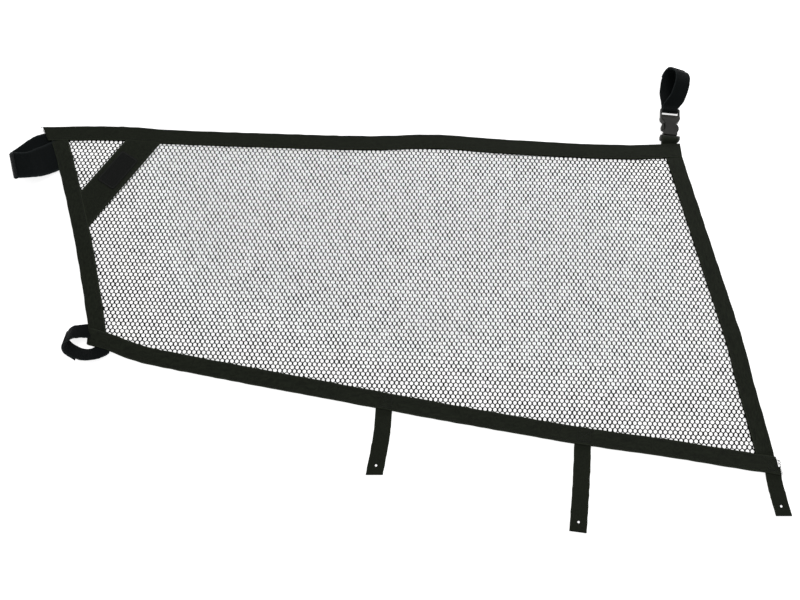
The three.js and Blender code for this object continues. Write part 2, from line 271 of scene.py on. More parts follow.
# ---------------------------------------------------------------- curves
def spline(points, count):
    """count+1 points of a uniform Catmull-Rom curve through the given ones, by parameter."""
    p = np.asarray(points, float)
    ends = np.vstack([2 * p[0] - p[1], p, 2 * p[-1] - p[-2]])
    t = np.linspace(0, len(p) - 1, count + 1)
    i = np.minimum(t.astype(int), len(p) - 2)
    s = (t - i)[:, None]
    a, b, c, d = ends[i], ends[i + 1], ends[i + 2], ends[i + 3]
    return 0.5 * (2 * b + (c - a) * s + (2 * a - 5 * b + 4 * c - d) * s**2 + (3 * b - a - 3 * c + d) * s**3)


def travelled(line):
    """How far along the line each of its points lies."""
    return np.concatenate([[0], np.cumsum(np.linalg.norm(np.diff(line, axis=0), axis=1))])


def headings(line):
    """The line's direction at each of its points."""
    along = np.gradient(line, axis=0)
    return along / np.linalg.norm(along, axis=1)[:, None]


def gaps(points, line):
    """How far each point lies from each point of the line, in plan."""
    return np.linalg.norm(points[:, None, :2] - line[None, :, :2], axis=2)


def ease(share):
    """0 to 1 with a soft start and a soft end."""
    return share * share * (3 - 2 * share)


def even(points, step):
    """The same line with points a given distance apart."""
    lengths = travelled(points)
    count = max(2, round(lengths[-1] / step))
    return np.column_stack([
        np.interp(np.linspace(0, lengths[-1], count + 1), lengths, points[:, k])
        for k in range(points.shape[1])
    ])


def ripple(seed, count, scale, size):
    """A smooth random line: count values that change over about scale steps, up to size."""
    rng = np.random.default_rng(seed)
    knots = rng.uniform(-size, size, int(count / scale) + 4)
    return spline(knots[:, None], count - 1)[:, 0]


# The outer edge of each side of the border
SIDES = {
    "top": [(-591, 304), (-468, 305), (-369, 298), (-210, 291.5), (-60, 287), (60, 289.5),
            (150, 282), (285, 273), (379, 270), (458, 273)],
    "right": [(454.5, 273), (505, -2), (517.5, -72), (525.5, -141), (543, -268)],
    "bottom": [(548, -270), (457, -255), (372, -241), (300, -231), (172, -209.5), (-71, -164),
               (-340, -111.5), (-400, -97), (-440, -82), (-475, -71.5)],
    "left": [(-469.5, -60), (-480.2, -15), (-512, 102), (-551, 223), (-580, 303)],
}
# How far a strip's start and finish lean back at its outer edge, as a share of its width; a
# negative one leans the other way
END_LEAN = {"top": (-0.58, 0), "bottom": (-0.37, -0.3), "left": (0, 0), "right": (0, 0)}


def side_line(side, inset, step=4.0):
    """The points along one side of the border, inset from its outer edge, in plan millimetres."""
    line = even(spline(SIDES[side], 400), step)
    along = headings(line)
    return line + np.column_stack([along[:, 1], -along[:, 0]]) * inset


# ---------------------------------------------------------------- cloth ribbons
# Half of a ribbon's section, as shares of its half width and half thickness, with a rounded edge
SECTION = [(0, 1), (0.3, 1), (0.6, 1), (0.82, 1), (0.94, 0.98), (0.985, 0.72), (1, 0.25)]
HIGHLIGHT_FROM = 0.86  # the share of the half width where the painted edge highlight starts


def finish_mesh(name, vertices, faces, material):
    """A smooth mesh of the given faces, as an object in the scene."""
    mesh = bpy.data.meshes.new(name)
    mesh.from_pydata([tuple(v) for v in vertices], [], faces)
    mesh.validate()
    mesh.materials.append(material)
    mesh.shade_smooth()
    piece = bpy.data.objects.new(name, mesh)
    bpy.context.scene.collection.objects.link(piece)
    return piece


def closed_section():
    """The whole section, once round: (across, up) shares."""
    half = SECTION + [(x, -y) for x, y in reversed(SECTION)]
    return half + [(-x, y) for x, y in reversed(half[1:-1])]


def highlight_at(share):
    """How much painted edge highlight the cloth gets at a share of its half width."""
    return max(0.0, (share - HIGHLIGHT_FROM) / (1 - HIGHLIGHT_FROM))


def lay_flat(piece, flat, painted_highlight):
    """Keeps each vertex's place on the flat cloth, in millimetres, as the UV map, and how much painted
    edge highlight it gets."""
    layer = piece.data.uv_layers.new(name="UVMap")
    loops = np.array([loop.vertex_index for loop in piece.data.loops])
    layer.data.foreach_set("uv", (np.asarray(flat) * MM)[loops].astype(np.float32).ravel())
    edge = piece.data.attributes.new("edge", "FLOAT", "POINT")
    edge.data.foreach_set("value", np.asarray(painted_highlight, np.float32))


def ribbon(name, middle, across, width, thick, material, edge_ripple=0.0, face_ripple=0.0, seed=1,
           most_skew=2.0):
    """A strip of webbing along the middle line, in plan millimetres. across holds the direction over
    its width at each point; where it isn't square to the line, the strip still keeps its width, up
    to a limit on how much longer its slanted width may get."""
    middle = np.asarray(middle, float)
    across = across / np.linalg.norm(across, axis=1)[:, None]
    up = np.cross(headings(middle), across)
    stretch = 1 / np.linalg.norm(up, axis=1)
    up *= stretch[:, None]
    stretch = np.minimum(stretch, most_skew)
    count = len(middle)
    section = closed_section()
    lengths = travelled(middle)
    sides = {side: ripple(seed + side, count, 3, edge_ripple) for side in (-1, 1)}
    lifts = {side: ripple(seed + 10 + side, count, 2.5, face_ripple) for side in (-1, 0, 1)}
    vertices, flat, painted_highlight = [], [], []
    for x, y in section:
        side = (x > 0) - (x < 0)
        wide = x * (width / 2 + (sides[side] if side else 0))
        lift = y * thick / 2 + (1 - abs(x)) * lifts[0] + abs(x) * lifts[side]
        vertices.append(middle + across * (wide * stretch)[:, None] + up * lift[:, None])
        flat.append(np.column_stack([lengths, np.full(count, x * width / 2 + (0 if y > 0 else 0.4))]))
        # how much painted edge highlight each point gets
        painted_highlight.append(np.full(count, highlight_at(abs(x))))
    size = len(section)
    points = np.stack(vertices, axis=1).reshape(-1, 3)
    faces = [
        (i * size + j, (i + 1) * size + j, (i + 1) * size + (j + 1) % size, i * size + (j + 1) % size)
        for i in range(count - 1) for j in range(size)
    ]
    faces.append(tuple(range(size)))
    faces.append(tuple((count - 1) * size + j for j in reversed(range(size))))
    piece = finish_mesh(name, place(points), faces, material)
    lay_flat(piece, np.stack(flat, axis=1).reshape(-1, 2), np.stack(painted_highlight, axis=1).reshape(-1))
    outward(piece)
    return piece


def outward(piece):
    """Turns every face outwards."""
    bm = bmesh.new()
    bm.from_mesh(piece.data)
    bmesh.ops.recalc_face_normals(bm, faces=bm.faces)
    bm.to_mesh(piece.data)
    bm.free()


STITCH_INSET = 3.2  # from the edge of the cloth
THREAD_LIFT = 0.06  # the thread's middle, over the face of the cloth
# Along a stitch: the share of its half length, and of the thread's thickness there
THREAD_BANDS = [(-1, 0.35), (-0.55, 0.95), (0, 1.0), (0.55, 0.95), (1, 0.35)]


def tube_faces(first, bands, sides):
    """The faces of a closed tube whose rings of vertices start at first."""
    faces = [
        (first + b * sides + j, first + b * sides + (j + 1) % sides,
         first + (b + 1) * sides + (j + 1) % sides, first + (b + 1) * sides + j)
        for b in range(bands - 1) for j in range(sides)
    ]
    faces.append(tuple(first + j for j in reversed(range(sides))))
    faces.append(tuple(first + (bands - 1) * sides + j for j in range(sides)))
    return faces


def stitches(name, line, up, seed=3):
    """A row of lockstitches along a line in plan millimetres. up is the surface's normal there."""
    pitch, length, thick = 3.6, 2.9, 0.5
    lengths = travelled(line)
    rng = np.random.default_rng(seed)
    vertices, faces = [], []
    ring = [(math.cos(a), math.sin(a)) for a in np.linspace(0, 2 * math.pi, 6, endpoint=False)]

    def at(track, spot):
        return np.array([np.interp(spot, lengths, track[:, axis]) for axis in range(3)])

    for k in range(int(lengths[-1] / pitch)):
        faces += tube_faces(len(vertices), len(THREAD_BANDS), len(ring))
        slew = rng.uniform(-0.12, 0.12)
        for share, size in THREAD_BANDS:
            spot = (k + 0.5) * pitch + share * length / 2
            here, normal = at(line, spot), at(up, spot)
            sideways = np.cross(normal, at(line, spot + 1) - at(line, spot - 1))
            sideways /= max(1e-9, np.linalg.norm(sideways))
            sunk = 0.34 if abs(share) == 1 else 0.0
            for c, s in ring:
                vertices.append(here + sideways * (c * size * thick * 0.75 + slew * share)
                                + normal * (s * size * thick * 0.5 - sunk * thick))
    piece = finish_mesh(name, place(vertices), faces, THREAD)
    outward(piece)
    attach(piece, "net")
    return piece


def join(name, pieces):
    """Several pieces of one material on one body as one."""
    first = pieces[0]
    with bpy.context.temp_override(active_object=first, selected_editable_objects=pieces):
        bpy.ops.object.join()
    first.name = name
    return first


# ---------------------------------------------------------------- border
FADE = 45  # how far from a strip's end its lean dies out
TUCK = 7.0  # how far the side strips run in under the top and bottom ones
TUCK_DROP = WEB_THICK + 0.08  # how far they bend away from them


def level(line, z):
    """A plan line at one height."""
    return np.column_stack([line, np.full(len(line), z)])


def square(line):
    """The direction over the width of a flat strip, to the left of its line."""
    along = headings(line[:, :2])
    return np.column_stack([-along[:, 1], along[:, 0], np.zeros(len(line))])


def border():
    """Two layers of four strips. The side ones run in under the top and bottom ones."""
    for seed, (layer, z) in enumerate((("front", FRONT_Z), ("back", BACK_Z))):
        for number, side in enumerate(SIDES):
            line = level(side_line(side, WEB / 2), z)
            across = square(line)
            if side in ("left", "right"):
                line, across = trimmed(line, across, side, layer)
            else:
                line, across = leaning(line, across, side)
            strip = ribbon(f"webbing_{layer}_{side}", line, across, WEB, WEB_THICK, WEBBING,
                           edge_ripple=0.35, face_ripple=0.16 if layer == "front" else 0.02,
                           seed=40 * seed + 7 * number + 5)
            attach(strip, "net")
            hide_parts(f"{layer}_{side}_webbing")


def leaning(line, across, side):
    """A top or bottom strip with its ends cut at a slant."""
    start, finish = END_LEAN[side]
    for lean, end in ((start, 0), (finish, -1)):
        away = np.linalg.norm(line - line[end], axis=1)
        across = across + headings(line) * (lean * np.clip(1 - away / FADE, 0, 1))[:, None]
    keep = np.linalg.norm(line - line[0], axis=1) >= abs(start) * WEB / 2
    return line[keep], across[keep]


def trimmed(line, across, side, layer):
    """A side strip, cut where it has gone a little way under the strips it meets, and bent down
    (or up, on the back) under them."""
    keep = np.ones(len(line), bool)
    depth = np.zeros(len(line))
    for other in ("top", "bottom"):
        away = gaps(line, side_line(other, WEB)).min(axis=1)
        before = np.arange(len(line)) < int(np.argmin(away))
        beyond = before if (side == "left") == (other == "bottom") else ~before
        signed = np.where(beyond, away, -away)
        keep &= signed < TUCK
        depth = np.maximum(depth, np.clip((signed + TUCK / 2) / 5, 0, 1))
    sign = -1 if layer == "front" else 1
    line = line.copy()
    line[:, 2] += sign * ease(depth) * TUCK_DROP
    return line[keep], across[keep]


def border_stitching():
    """A row along each edge of each strip, where no other strip covers it."""
    for layer, z, facing in (("front", FRONT_Z, 1), ("back", BACK_Z, -1)):
        rows = []
        for side in SIDES:
            for inset in (STITCH_INSET, WEB - STITCH_INSET):
                line = level(side_line(side, inset), z + facing * (WEB_THICK / 2 + THREAD_LIFT))
                if side in ("left", "right"):
                    line = between_strips(line)
                else:
                    from_start = np.linalg.norm(line - line[0], axis=1)
                    from_finish = np.linalg.norm(line - line[-1], axis=1)
                    lean = abs(END_LEAN[side][0]) * inset
                    line = line[(from_start > lean + 3) & (from_finish > 4)]
                up = np.tile([0.0, 0.0, facing], (len(line), 1))
                rows.append(stitches(f"row_{layer}_{side}_{inset:.0f}", line, up, seed=len(rows)))
        join(f"stitching_{layer}", rows)


LOOSE_THREADS = 44


def frayed(side, seed):
    """Short loose threads at a slanted first end of a strip, where its cut has come undone."""
    line = side_line(side, WEB / 2)
    lean = -END_LEAN[side][0]
    away = (line[0] - line[1]) / np.linalg.norm(line[0] - line[1])
    wide = np.array([away[1], -away[0]])
    rng = np.random.default_rng(seed)
    vertices, faces = [], []
    for _ in range(LOOSE_THREADS):
        share = rng.uniform(-0.48, 0.48)
        at = line[0] + wide * share * WEB + away * (lean * (share - 0.5) * WEB - 0.6)
        heading = away + wide * rng.normal(0, 0.45)
        bend, length = rng.normal(0, 0.5), rng.uniform(0.9, 2.9)
        height = rng.choice([FRONT_Z, BACK_Z]) + rng.uniform(-0.4, 0.4)
        faces += tube_faces(len(vertices), 4, 4)
        for share in (0, 0.35, 0.7, 1):
            spot = at + (heading + wide * bend * share) * length * share
            radius = 0.17 * (1 - 0.4 * share)
            for x, z in ((-1, -1), (1, -1), (1, 1), (-1, 1)):
                vertices.append((*(spot + wide * x * radius), height + z * radius))
    threads = finish_mesh(f"webbing_threads_{side}", place(vertices), faces, THREAD)
    outward(threads)
    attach(threads, "net")


def between_strips(line):
    """The part of a side's line that the top and bottom strips don't cover."""
    keep = np.ones(len(line), bool)
    for other in ("top", "bottom"):
        edge = side_line(other, WEB)
        sign = -1 if other == "top" else 1
        nearest = np.argmin(gaps(line, edge), axis=1)
        keep &= (line[:, 1] - edge[nearest][:, 1]) * sign > 0.5
    return line[keep]


# ---------------------------------------------------------------- mesh panel
CELL = 7.29  # between openings along a row
ROW = 5.8  # between rows
ROW_TILT = math.radians(-2.4)
OPEN_WIDE, OPEN_HIGH = 5.25, 6.1
STRAND = 0.42  # half the height of a strand's ridge
KNOT = 0.58  # the same at the thick knots between neighbours in a row
PANEL_INSET = 12.5


def inside(points, outline):
    """Which points are inside a closed outline."""
    x, y = points[:, 0], points[:, 1]
    result = np.zeros(len(points), bool)
    x0, y0 = outline[-1]
    for x1, y1 in outline:
        crosses = (y0 > y) != (y1 > y)
        with np.errstate(divide="ignore", invalid="ignore"):
            result ^= crosses & (x < (x1 - x0) * (y - y0) / (y1 - y0) + x0)
        x0, y0 = x1, y1
    return result


def panel_outline(inset):
    """Once round the border, inset from its outer edge."""
    return np.vstack([side_line(side, inset, 12)[1:-1] for side in SIDES])


def cell_centres(turn, outline):
    """The middles of the cells inside the outline, from its box's middle and before the rows turn."""
    low, high = outline.min(axis=0), outline.max(axis=0)
    reach_x = int((high - low)[0] / CELL / 2) + 8
    reach_y = int((high - low)[1] / ROW / 2) + 8
    cells = np.array([
        (column * CELL + (row % 2) * CELL / 2, row * ROW)
        for row in range(-reach_y, reach_y + 1) for column in range(-reach_x, reach_x + 1)
    ])
    return cells[inside(cells @ turn.T + (low + high) / 2, outline)]


def mesh_panel():
    """One netting of hexagonal cells, each with a rounded opening between raised strands."""
    outline = panel_outline(PANEL_INSET)
    low, high = outline.min(axis=0), outline.max(axis=0)
    c, s = math.cos(ROW_TILT), math.sin(ROW_TILT)
    turn = np.array([[c, -s], [s, c]])
    corner_a, corner_b = ROW / 3, 2 * ROW / 3
    # round the hexagon: its six corners and the middles of its two upright sides
    hexagon = [(0, corner_b), (-CELL / 2, corner_a), (-CELL / 2, 0), (-CELL / 2, -corner_a),
               (0, -corner_b), (CELL / 2, -corner_a), (CELL / 2, 0), (CELL / 2, corner_a)]
    angles = [90, 140, 180, 220, 270, 320, 0, 40]
    hole = [(OPEN_WIDE / 2 * math.cos(math.radians(a)), OPEN_HIGH / 2 * math.sin(math.radians(a)))
            for a in angles]
    lift = [STRAND, KNOT, KNOT * 1.12, KNOT] * 2
    vertices, index, faces, edges = [], {}, [], {}
    rng = np.random.default_rng(11)

    def shared(point, height):
        key = (round(point[0] * 20), round(point[1] * 20))
        if key not in index:
            index[key] = len(vertices)
            vertices.append((point[0], point[1], height))
            vertices.append((point[0], point[1], -height))
        return index[key]

    for x, y in cell_centres(turn, outline):
        outer = [shared((x + hx, y + hy), lift[k]) for k, (hx, hy) in enumerate(hexagon)]
        first = len(vertices)
        wobble = rng.normal(0, 0.06, 3)
        for hx, hy in hole:
            vertices.append((x + hx * (1 + wobble[0]) + wobble[1], y + hy + wobble[2], 0))
        for k in range(8):
            a, b = outer[k], outer[(k + 1) % 8]
            c, d = first + k, first + (k + 1) % 8
            faces.append((a, b, d, c))
            faces.append((a + 1, c, d, b + 1))
            edge = (min(a, b), max(a, b))
            edges.setdefault(edge, []).append((a, b))
    for uses in edges.values():
        if len(uses) == 1:
            a, b = uses[0]
            faces.append((a, a + 1, b + 1, b))
    points = np.array(vertices)
    flat = points[:, :2] @ turn.T + (low + high) / 2
    points = np.column_stack([flat, points[:, 2] + MESH_Z + panel_swell(flat)])
    panel = finish_mesh("mesh_netting", place(points), faces, NETTING)
    outward(panel)
    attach(panel, "net")
    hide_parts("mesh_panel")


def panel_swell(flat):
    """The panel lies a little proud of the floor in soft waves, and flat at the border."""
    x, y = flat[:, 0], flat[:, 1]
    wave = (0.6 + 0.45 * np.sin(x / 61 + 0.6 * np.sin(y / 80)) + 0.35 * np.sin(y / 47 + x / 140)
            + 0.2 * np.sin(x / 23 + y / 31))
    rim = panel_outline(WEB)
    # a few points of the rim at a time, which keeps the memory small
    near = np.min([gaps(flat, rim[k:k + 40]).min(axis=1) for k in range(0, len(rim), 40)], axis=0)
    fade = np.where(inside(flat, rim), np.clip(near / 40, 0, 1), 0)
    return np.clip(wave, 0, None) * ease(fade)


# ---------------------------------------------------------------- gusset and label
GUSSET_AT = np.array([-456.0, 223.0])
GUSSET_ANGLE = math.radians(56.3)
GUSSET_ALONG = np.array([math.cos(GUSSET_ANGLE), math.sin(GUSSET_ANGLE)])
GUSSET_SIDE = np.array([-GUSSET_ALONG[1], GUSSET_ALONG[0]])
GUSSET_TUCK = 6  # how far its ends run in under the border
GUSSET_DROP = WEB_THICK + 0.1  # how far they bend away from it
LABEL_SIZE = (64, 34)
LABEL_THICK = 0.42
# From the label's edge inwards: the inset, the rise of the surface and the corner's radius
LABEL_RINGS = [(0, 0, 3), (1.1, 0, 2.45), (1.5, 0.16, 2.25), (2.1, 0.16, 1.95), (2.5, 0, 1.75), (5, 0, 0.01)]


def gusset_point(along, aside):
    return GUSSET_AT + GUSSET_ALONG * along + GUSSET_SIDE * aside


def gusset_ends(aside):
    """Where the gusset starts and ends, along its own length, at a place across its width."""
    ends = []
    for side, forward in (("left", -1), ("top", 1)):
        relative = side_line(side, WEB - GUSSET_TUCK, 2) - GUSSET_AT - GUSSET_SIDE * aside
        along = relative @ GUSSET_ALONG
        off = np.abs(relative @ GUSSET_SIDE) + (along * forward < 0) * 1e3
        ends.append(float(along[np.argmin(off)]))
    return ends


def gusset():
    """A wide strip across the corner, cut along the border's inner edges and tucked under them."""
    rows = np.linspace(-WIDE / 2, WIDE / 2, 13)
    count = 40
    points, flat, painted_highlight = [], [], []
    for aside in rows:
        start, end = gusset_ends(aside)
        for k in range(count + 1):
            share = k / count
            along = start + (end - start) * share
            under = max(0.0, 1 - min(share, 1 - share) * (end - start) / 9)
            wave = 0.12 * math.sin(k * 1.3 + aside * 0.2) * math.sin(aside * 0.35 + k * 0.4)
            z = FRONT_Z - ease(under) * GUSSET_DROP + wave
            points.append((*gusset_point(along, aside), z))
            flat.append((along, aside))
            # how much painted edge highlight each point gets
            painted_highlight.append(highlight_at(abs(aside) / (WIDE / 2)))
    long = count + 1
    last = (len(rows) - 1) * long
    faces = [(i + k, i + k + 1, i + long + k + 1, i + long + k)
             for i in range(0, last, long) for k in range(count)]
    faces += [tuple(len(points) + v for v in reversed(face)) for face in faces]
    rim = (list(range(count)) + list(range(count, last + count, long))
           + list(range(last + count, last, -1)) + list(range(last, 0, -long)))
    faces += [(a, len(points) + a, len(points) + b, b) for a, b in zip(rim, rim[1:] + rim[:1])]
    half = np.array([0, 0, WEB_THICK / 2])
    piece = finish_mesh("webbing_gusset", place(np.vstack([points + half, points - half])), faces, WEBBING)
    lay_flat(piece, flat + flat, painted_highlight + painted_highlight)
    outward(piece)
    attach(piece, "net")
    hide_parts("corner_gusset")
    rows_sewn = []
    for aside in (-WIDE / 2 + STITCH_INSET, WIDE / 2 - STITCH_INSET):
        start, end = gusset_ends(aside)
        line = np.array([gusset_point(along, aside) for along in np.linspace(start + 8, end - 8, 30)])
        line = level(line, FRONT_Z + WEB_THICK / 2 + THREAD_LIFT)
        rows_sewn.append(stitches(f"gusset_row_{aside:.0f}", line, np.tile([0.0, 0.0, 1.0], (30, 1))))
    join("stitching_gusset", rows_sewn)


def label_ring(inset, radius, count):
    """Once round the label, inset from its edge, with rounded corners."""
    length, width = LABEL_SIZE[0] / 2 - inset, LABEL_SIZE[1] / 2 - inset
    ring = []
    for k in range(count):
        c, s = math.cos(2 * math.pi * k / count), math.sin(2 * math.pi * k / count)
        reach = 1 / max(abs(c) / length, abs(s) / width)
        x, y = c * reach, s * reach
        dx, dy = abs(x) - (length - radius), abs(y) - (width - radius)
        size = math.hypot(dx, dy)
        if dx > 0 and dy > 0 and size > radius:
            x = math.copysign(length - radius + dx / size * radius, x)
            y = math.copysign(width - radius + dy / size * radius, y)
        ring.append((x, y))
    return ring


def label():
    """A blank woven patch with a raised selvedge line round it; its outer edge and that line are painted
    paler, a painted highlight.
    """
    count = 64
    base = FRONT_Z + WEB_THICK / 2 + 0.12
    # the outer edge and the raised line get the painted edge highlight
    heights = [(0, base - 0.1, 3, 1.0)]
    for inset, rise, radius in LABEL_RINGS:
        heights.append((inset, base + LABEL_THICK + rise, radius, float(rise > 0)))
    vertices, flat, painted_highlight = [], [], []
    for inset, z, radius, highlit in heights:
        for x, y in label_ring(inset, radius, count):
            vertices.append((*gusset_point(x, y), z))
            flat.append((x, y))
            painted_highlight.append(highlit)
    faces = tube_faces(0, len(heights), count)
    piece = finish_mesh("blank_patch", place(vertices), faces, LABEL)
    lay_flat(piece, flat, painted_highlight)
    outward(piece)
    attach(piece, "net")
    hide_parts("blank_label")


# ---------------------------------------------------------------- tabs
# The middle line of each, where it is cut off, whether straight across the net, and its width
TABS = [
    ([(-23.5, -160), (-24.8, -190), (-28.5, -222), (-38, -274)], -269, True, 24.6),
    ([(265.5, -215), (260, -270), (249.5, -349)], -349, False, 24.6),
    ([(534, -258), (536.5, -290), (543, -334)], -327, True, 23),
]
TAB_HOLE = 4.0
TAB_HOLE_BACK = 14  # from the tab's end
TAB_Z = 0.78
TAB_STEP = 2.0
TAB_SLOPE = 10  # how long a tab's slope down to the floor is
TAB_DOWN = 9  # how far outside the border's edge the slope ends
TAB_FOLD = 7  # how many steps past the border's edge the tip point is taken
SQUARING = 30  # how far from a straight cut the strip's width starts to turn
BEAD = 0.12  # the melted rim's middle, outside the hole's edge


def tabs():
    """Each tab drops from between the border's layers to the floor."""
    for number, (points, cut_at, straight, width) in enumerate(TABS, 1):
        line = spline(points, 400)
        line = even(line[line[:, 1] >= cut_at], TAB_STEP)
        free = np.linalg.norm(line - line[0], axis=1)
        edge = side_line("bottom", 0, 2)
        crossing = int(np.argmin(gaps(line, edge).min(axis=1)))
        before = np.clip((free[crossing] + TAB_DOWN - free) / TAB_SLOPE, 0, 1)
        z = TAB_Z + (SEW_Z - TAB_Z) * ease(before)
        middle = np.column_stack([line, z])
        back = np.linalg.norm(line - line[-1], axis=1)
        turned = (np.clip(1 - back / SQUARING, 0, 1) if straight else np.zeros(len(line)))[:, None]
        across = square(middle) * (1 - turned) + np.array([1.0, 0, 0]) * turned
        strip = ribbon(f"webbing_tab_{number}", middle, across, width, WEB_THICK, WEBBING,
                       edge_ripple=0.3, face_ripple=0.05, seed=200 + number)
        hole_at = line[int(np.argmin(np.abs(back - TAB_HOLE_BACK)))]
        punch(strip, hole_at)
        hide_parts(f"bottom_tab_{number}")
        root, tip = line[crossing], line[min(crossing + TAB_FOLD, len(line) - 1)]
        place((*root, 3))
        place((*tip, 3))
        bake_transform(strip)
        eyelet(number, hole_at)


BOX_INSET = 5.4  # the sewn box's sides, from the edges of the border


def tab_stitching():
    """Each tab's root is sewn through the border in a box with a cross in it."""
    rows = []
    for number, (points, _, _, width) in enumerate(TABS):
        line = spline(points, 400)
        edge = side_line("bottom", 0, 2)
        foot = line[int(np.argmin(gaps(line, edge).min(axis=1)))]
        near = int(np.argmin(np.linalg.norm(edge - foot, axis=1)))
        side = -headings(edge)[near]
        inwards = np.array([-side[1], side[0]])
        low, high, half = BOX_INSET, WEB - BOX_INSET, width / 2 - 3
        corners = [(-half, low), (half, low), (half, high), (-half, high)]
        for a, b in ((0, 1), (1, 2), (2, 3), (3, 0), (0, 2), (1, 3)):
            ends = [foot + side * corners[k][0] + inwards * corners[k][1] for k in (a, b)]
            run = np.linspace(ends[0], ends[1], 24)
            row = level(run, FRONT_Z + WEB_THICK / 2 + 0.1)
            up = np.tile([0.0, 0.0, 1.0], (len(run), 1))
            rows.append(stitches(f"tab_row_{number}_{a}{b}", row, up, seed=90 + number))
    join("stitching_tabs", rows)


def punch(strip, at):
    """The screw hole."""
    bpy.ops.mesh.primitive_cylinder_add(vertices=32, radius=TAB_HOLE / 2 * MM, depth=0.02,
                                        location=place((*at, 1)))
    tool = bpy.context.object
    modifier = strip.modifiers.new("punch", "BOOLEAN")
    modifier.object, modifier.operation, modifier.solver = tool, "DIFFERENCE", "EXACT"
    applied = bpy.data.meshes.new_from_object(strip.evaluated_get(bpy.context.evaluated_depsgraph_get()))
    strip.modifiers.clear()
    strip.data = applied
    bpy.data.objects.remove(tool)


def eyelet(number, at):
    """The hole's rim, where the webbing was melted through: a low, uneven bead."""
    bm = bmesh.new()
    around, section = 40, 8
    rng = random.Random(50 + number)
    rings = []
    for k in range(around):
        a = 2 * math.pi * k / around
        bead = 0.42 + rng.uniform(-0.05, 0.05)
        ring = []
        for b in np.linspace(0, 2 * math.pi, section, endpoint=False):
            out = TAB_HOLE / 2 + BEAD + bead * math.cos(b)
            z = TAB_Z + math.sin(b) * (WEB_THICK / 2 + 0.04)
            ring.append(bm.verts.new(place((at[0] + math.cos(a) * out, at[1] + math.sin(a) * out, z))))
        rings.append(ring)
    for ring, following in zip(rings, rings[1:] + rings[:1]):
        for j in range(section):
            k = (j + 1) % section
            bm.faces.new((ring[j], following[j], following[k], ring[k]))
    mesh = bpy.data.meshes.new(f"tab_hole_rim_{number}")
    bm.to_mesh(mesh)
    bm.free()
    mesh.materials.append(PLASTIC)
    mesh.shade_smooth()
    piece = bpy.data.objects.new(f"tab_hole_rim_{number}", mesh)
    bpy.context.scene.collection.objects.link(piece)
    outward(piece)
    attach(piece, f"tab_{number}")


# ---------------------------------------------------------------- straps
UPPER_LEFT_ROOT = np.array([-564.5, 252.5])
UPPER_LEFT_UP = np.array([-0.409, 0.912])  # along the border's edge
UPPER_LEFT_OUT = np.array([-0.912, -0.409])  # away from it


def upper_left_station(out, up, height, tilt, turn=0):
    """Out from the left edge, up along it, height, tilt in degrees, and turn in plan at the border."""
    at = UPPER_LEFT_ROOT + UPPER_LEFT_OUT * out + UPPER_LEFT_UP * up
    wide = UPPER_LEFT_UP * math.cos(math.radians(turn)) - UPPER_LEFT_OUT * math.sin(math.radians(turn))
    flat = math.cos(math.radians(tilt))
    return (*at, height, *(wide * flat), math.sin(math.radians(tilt)))


ROOT_TURN = 3.5
# The straps' middle lines, each with the direction over its width. A sewn end runs on in between
# the two layers of the border, and seam is given for a strap with sewn ends and is None for the
# one on the buckle. tail holds the shares of the line that the closing tail covers, slide how far it
# lies to one side, skew the most that the strap's slanted width may grow, and tip the tail's free
# end. The upper right strap is in the buckle strap's own frame.
STRAPS = {
    "upper_left": dict(width=WIDE, tail=(0.42, 0.59), slide=0, skew=1.1, tip="start", seam=(2, 16), stations=[
        upper_left_station(-10, 20.5, 2.0, 0, ROOT_TURN),
        upper_left_station(-1, 20, 1.8, 0, ROOT_TURN),
        upper_left_station(14, 18, 4, 2, 2),
        upper_left_station(34, 10.5, 9.5, -2, 3),
        upper_left_station(54, 2, 14.5, -7, 4),
        upper_left_station(63, -4, 19.5, -8, 4),
        upper_left_station(56, -9, 24.5, -8, 4),
        upper_left_station(36, -15.5, 22.5, -4, 3),
        upper_left_station(16, -10.5, 12, 2, 2),
        upper_left_station(-1, -4, 3.9, 0, ROOT_TURN),
        upper_left_station(-10, 0, 2.8, 0, ROOT_TURN),
    ]),
    "lower_left": dict(width=WEB, tail=(0.4, 0.6), slide=1.5, skew=2, tip="end", seam=(1, 13), stations=[
        (-463, -49, 2.4, 0, -1, 0.02),
        (-469, -50.5, 3.2, 0, -1, 0.2),
        (-474.5, -52, 5.6, -0.05, -1, 0.42),
        (-483, -54, 9.5, 0, -1, 0.45),
        (-493, -58, 13.5, 0, -1, 0.52),
        (-500.5, -68, 14.5, 0.05, -1, 0.6),
        (-497, -79, 12.5, 0.1, -1, 0.62),
        (-485, -87, 10.5, 0.1, -1, 0.6),
        (-470, -91, 9, 0.1, -1, 0.6),
        (-457, -88.5, 7.6, 0.3, -1, 0.5),
        (-449.5, -83.5, 5, 0.65, -0.85, 0.3),
        (-447.5, -78, 2.8, 0.88, -0.45, 0.06),
        (-447, -70, 2.2, 0.94, -0.34, 0),
    ]),
    "upper_right": dict(width=WEB, tail=(0.44, 0.54), slide=-1.5, skew=2, tip="start", seam=None, stations=[
        (0, 58.1, 6, 1, 0, 0),
        (0, 58.6, 3.5, 1, 0, 0),
        (0, 61.2, 2.3, 1, 0, 0),
        (0, 66, 2.1, 1, 0.1, 0),
        (-0.8, 79, 1.3, 1, 0.14, 0),
        (-3.2, 101, 1, 1, 0.14, 0),
        (-1.2, 124, 5.4, 1, 0.05, -0.15),
        (6.8, 137, 11, 1, 0, -0.25),
        (15.6, 130.5, 19, 1, -0.05, -0.27),
        (17.2, 112, 21, 1, 0, -0.2),
        (11.5, 87, 15, 1, 0.05, -0.1),
        (1.8, 69, 9.8, 1, 0.05, 0),
        (0, 61.6, 9.3, 1, 0, 0),
        (0, 58.7, 8.4, 1, 0, 0),
        (0, 58.1, 6.4, 1, 0, 0),
    ]),
}
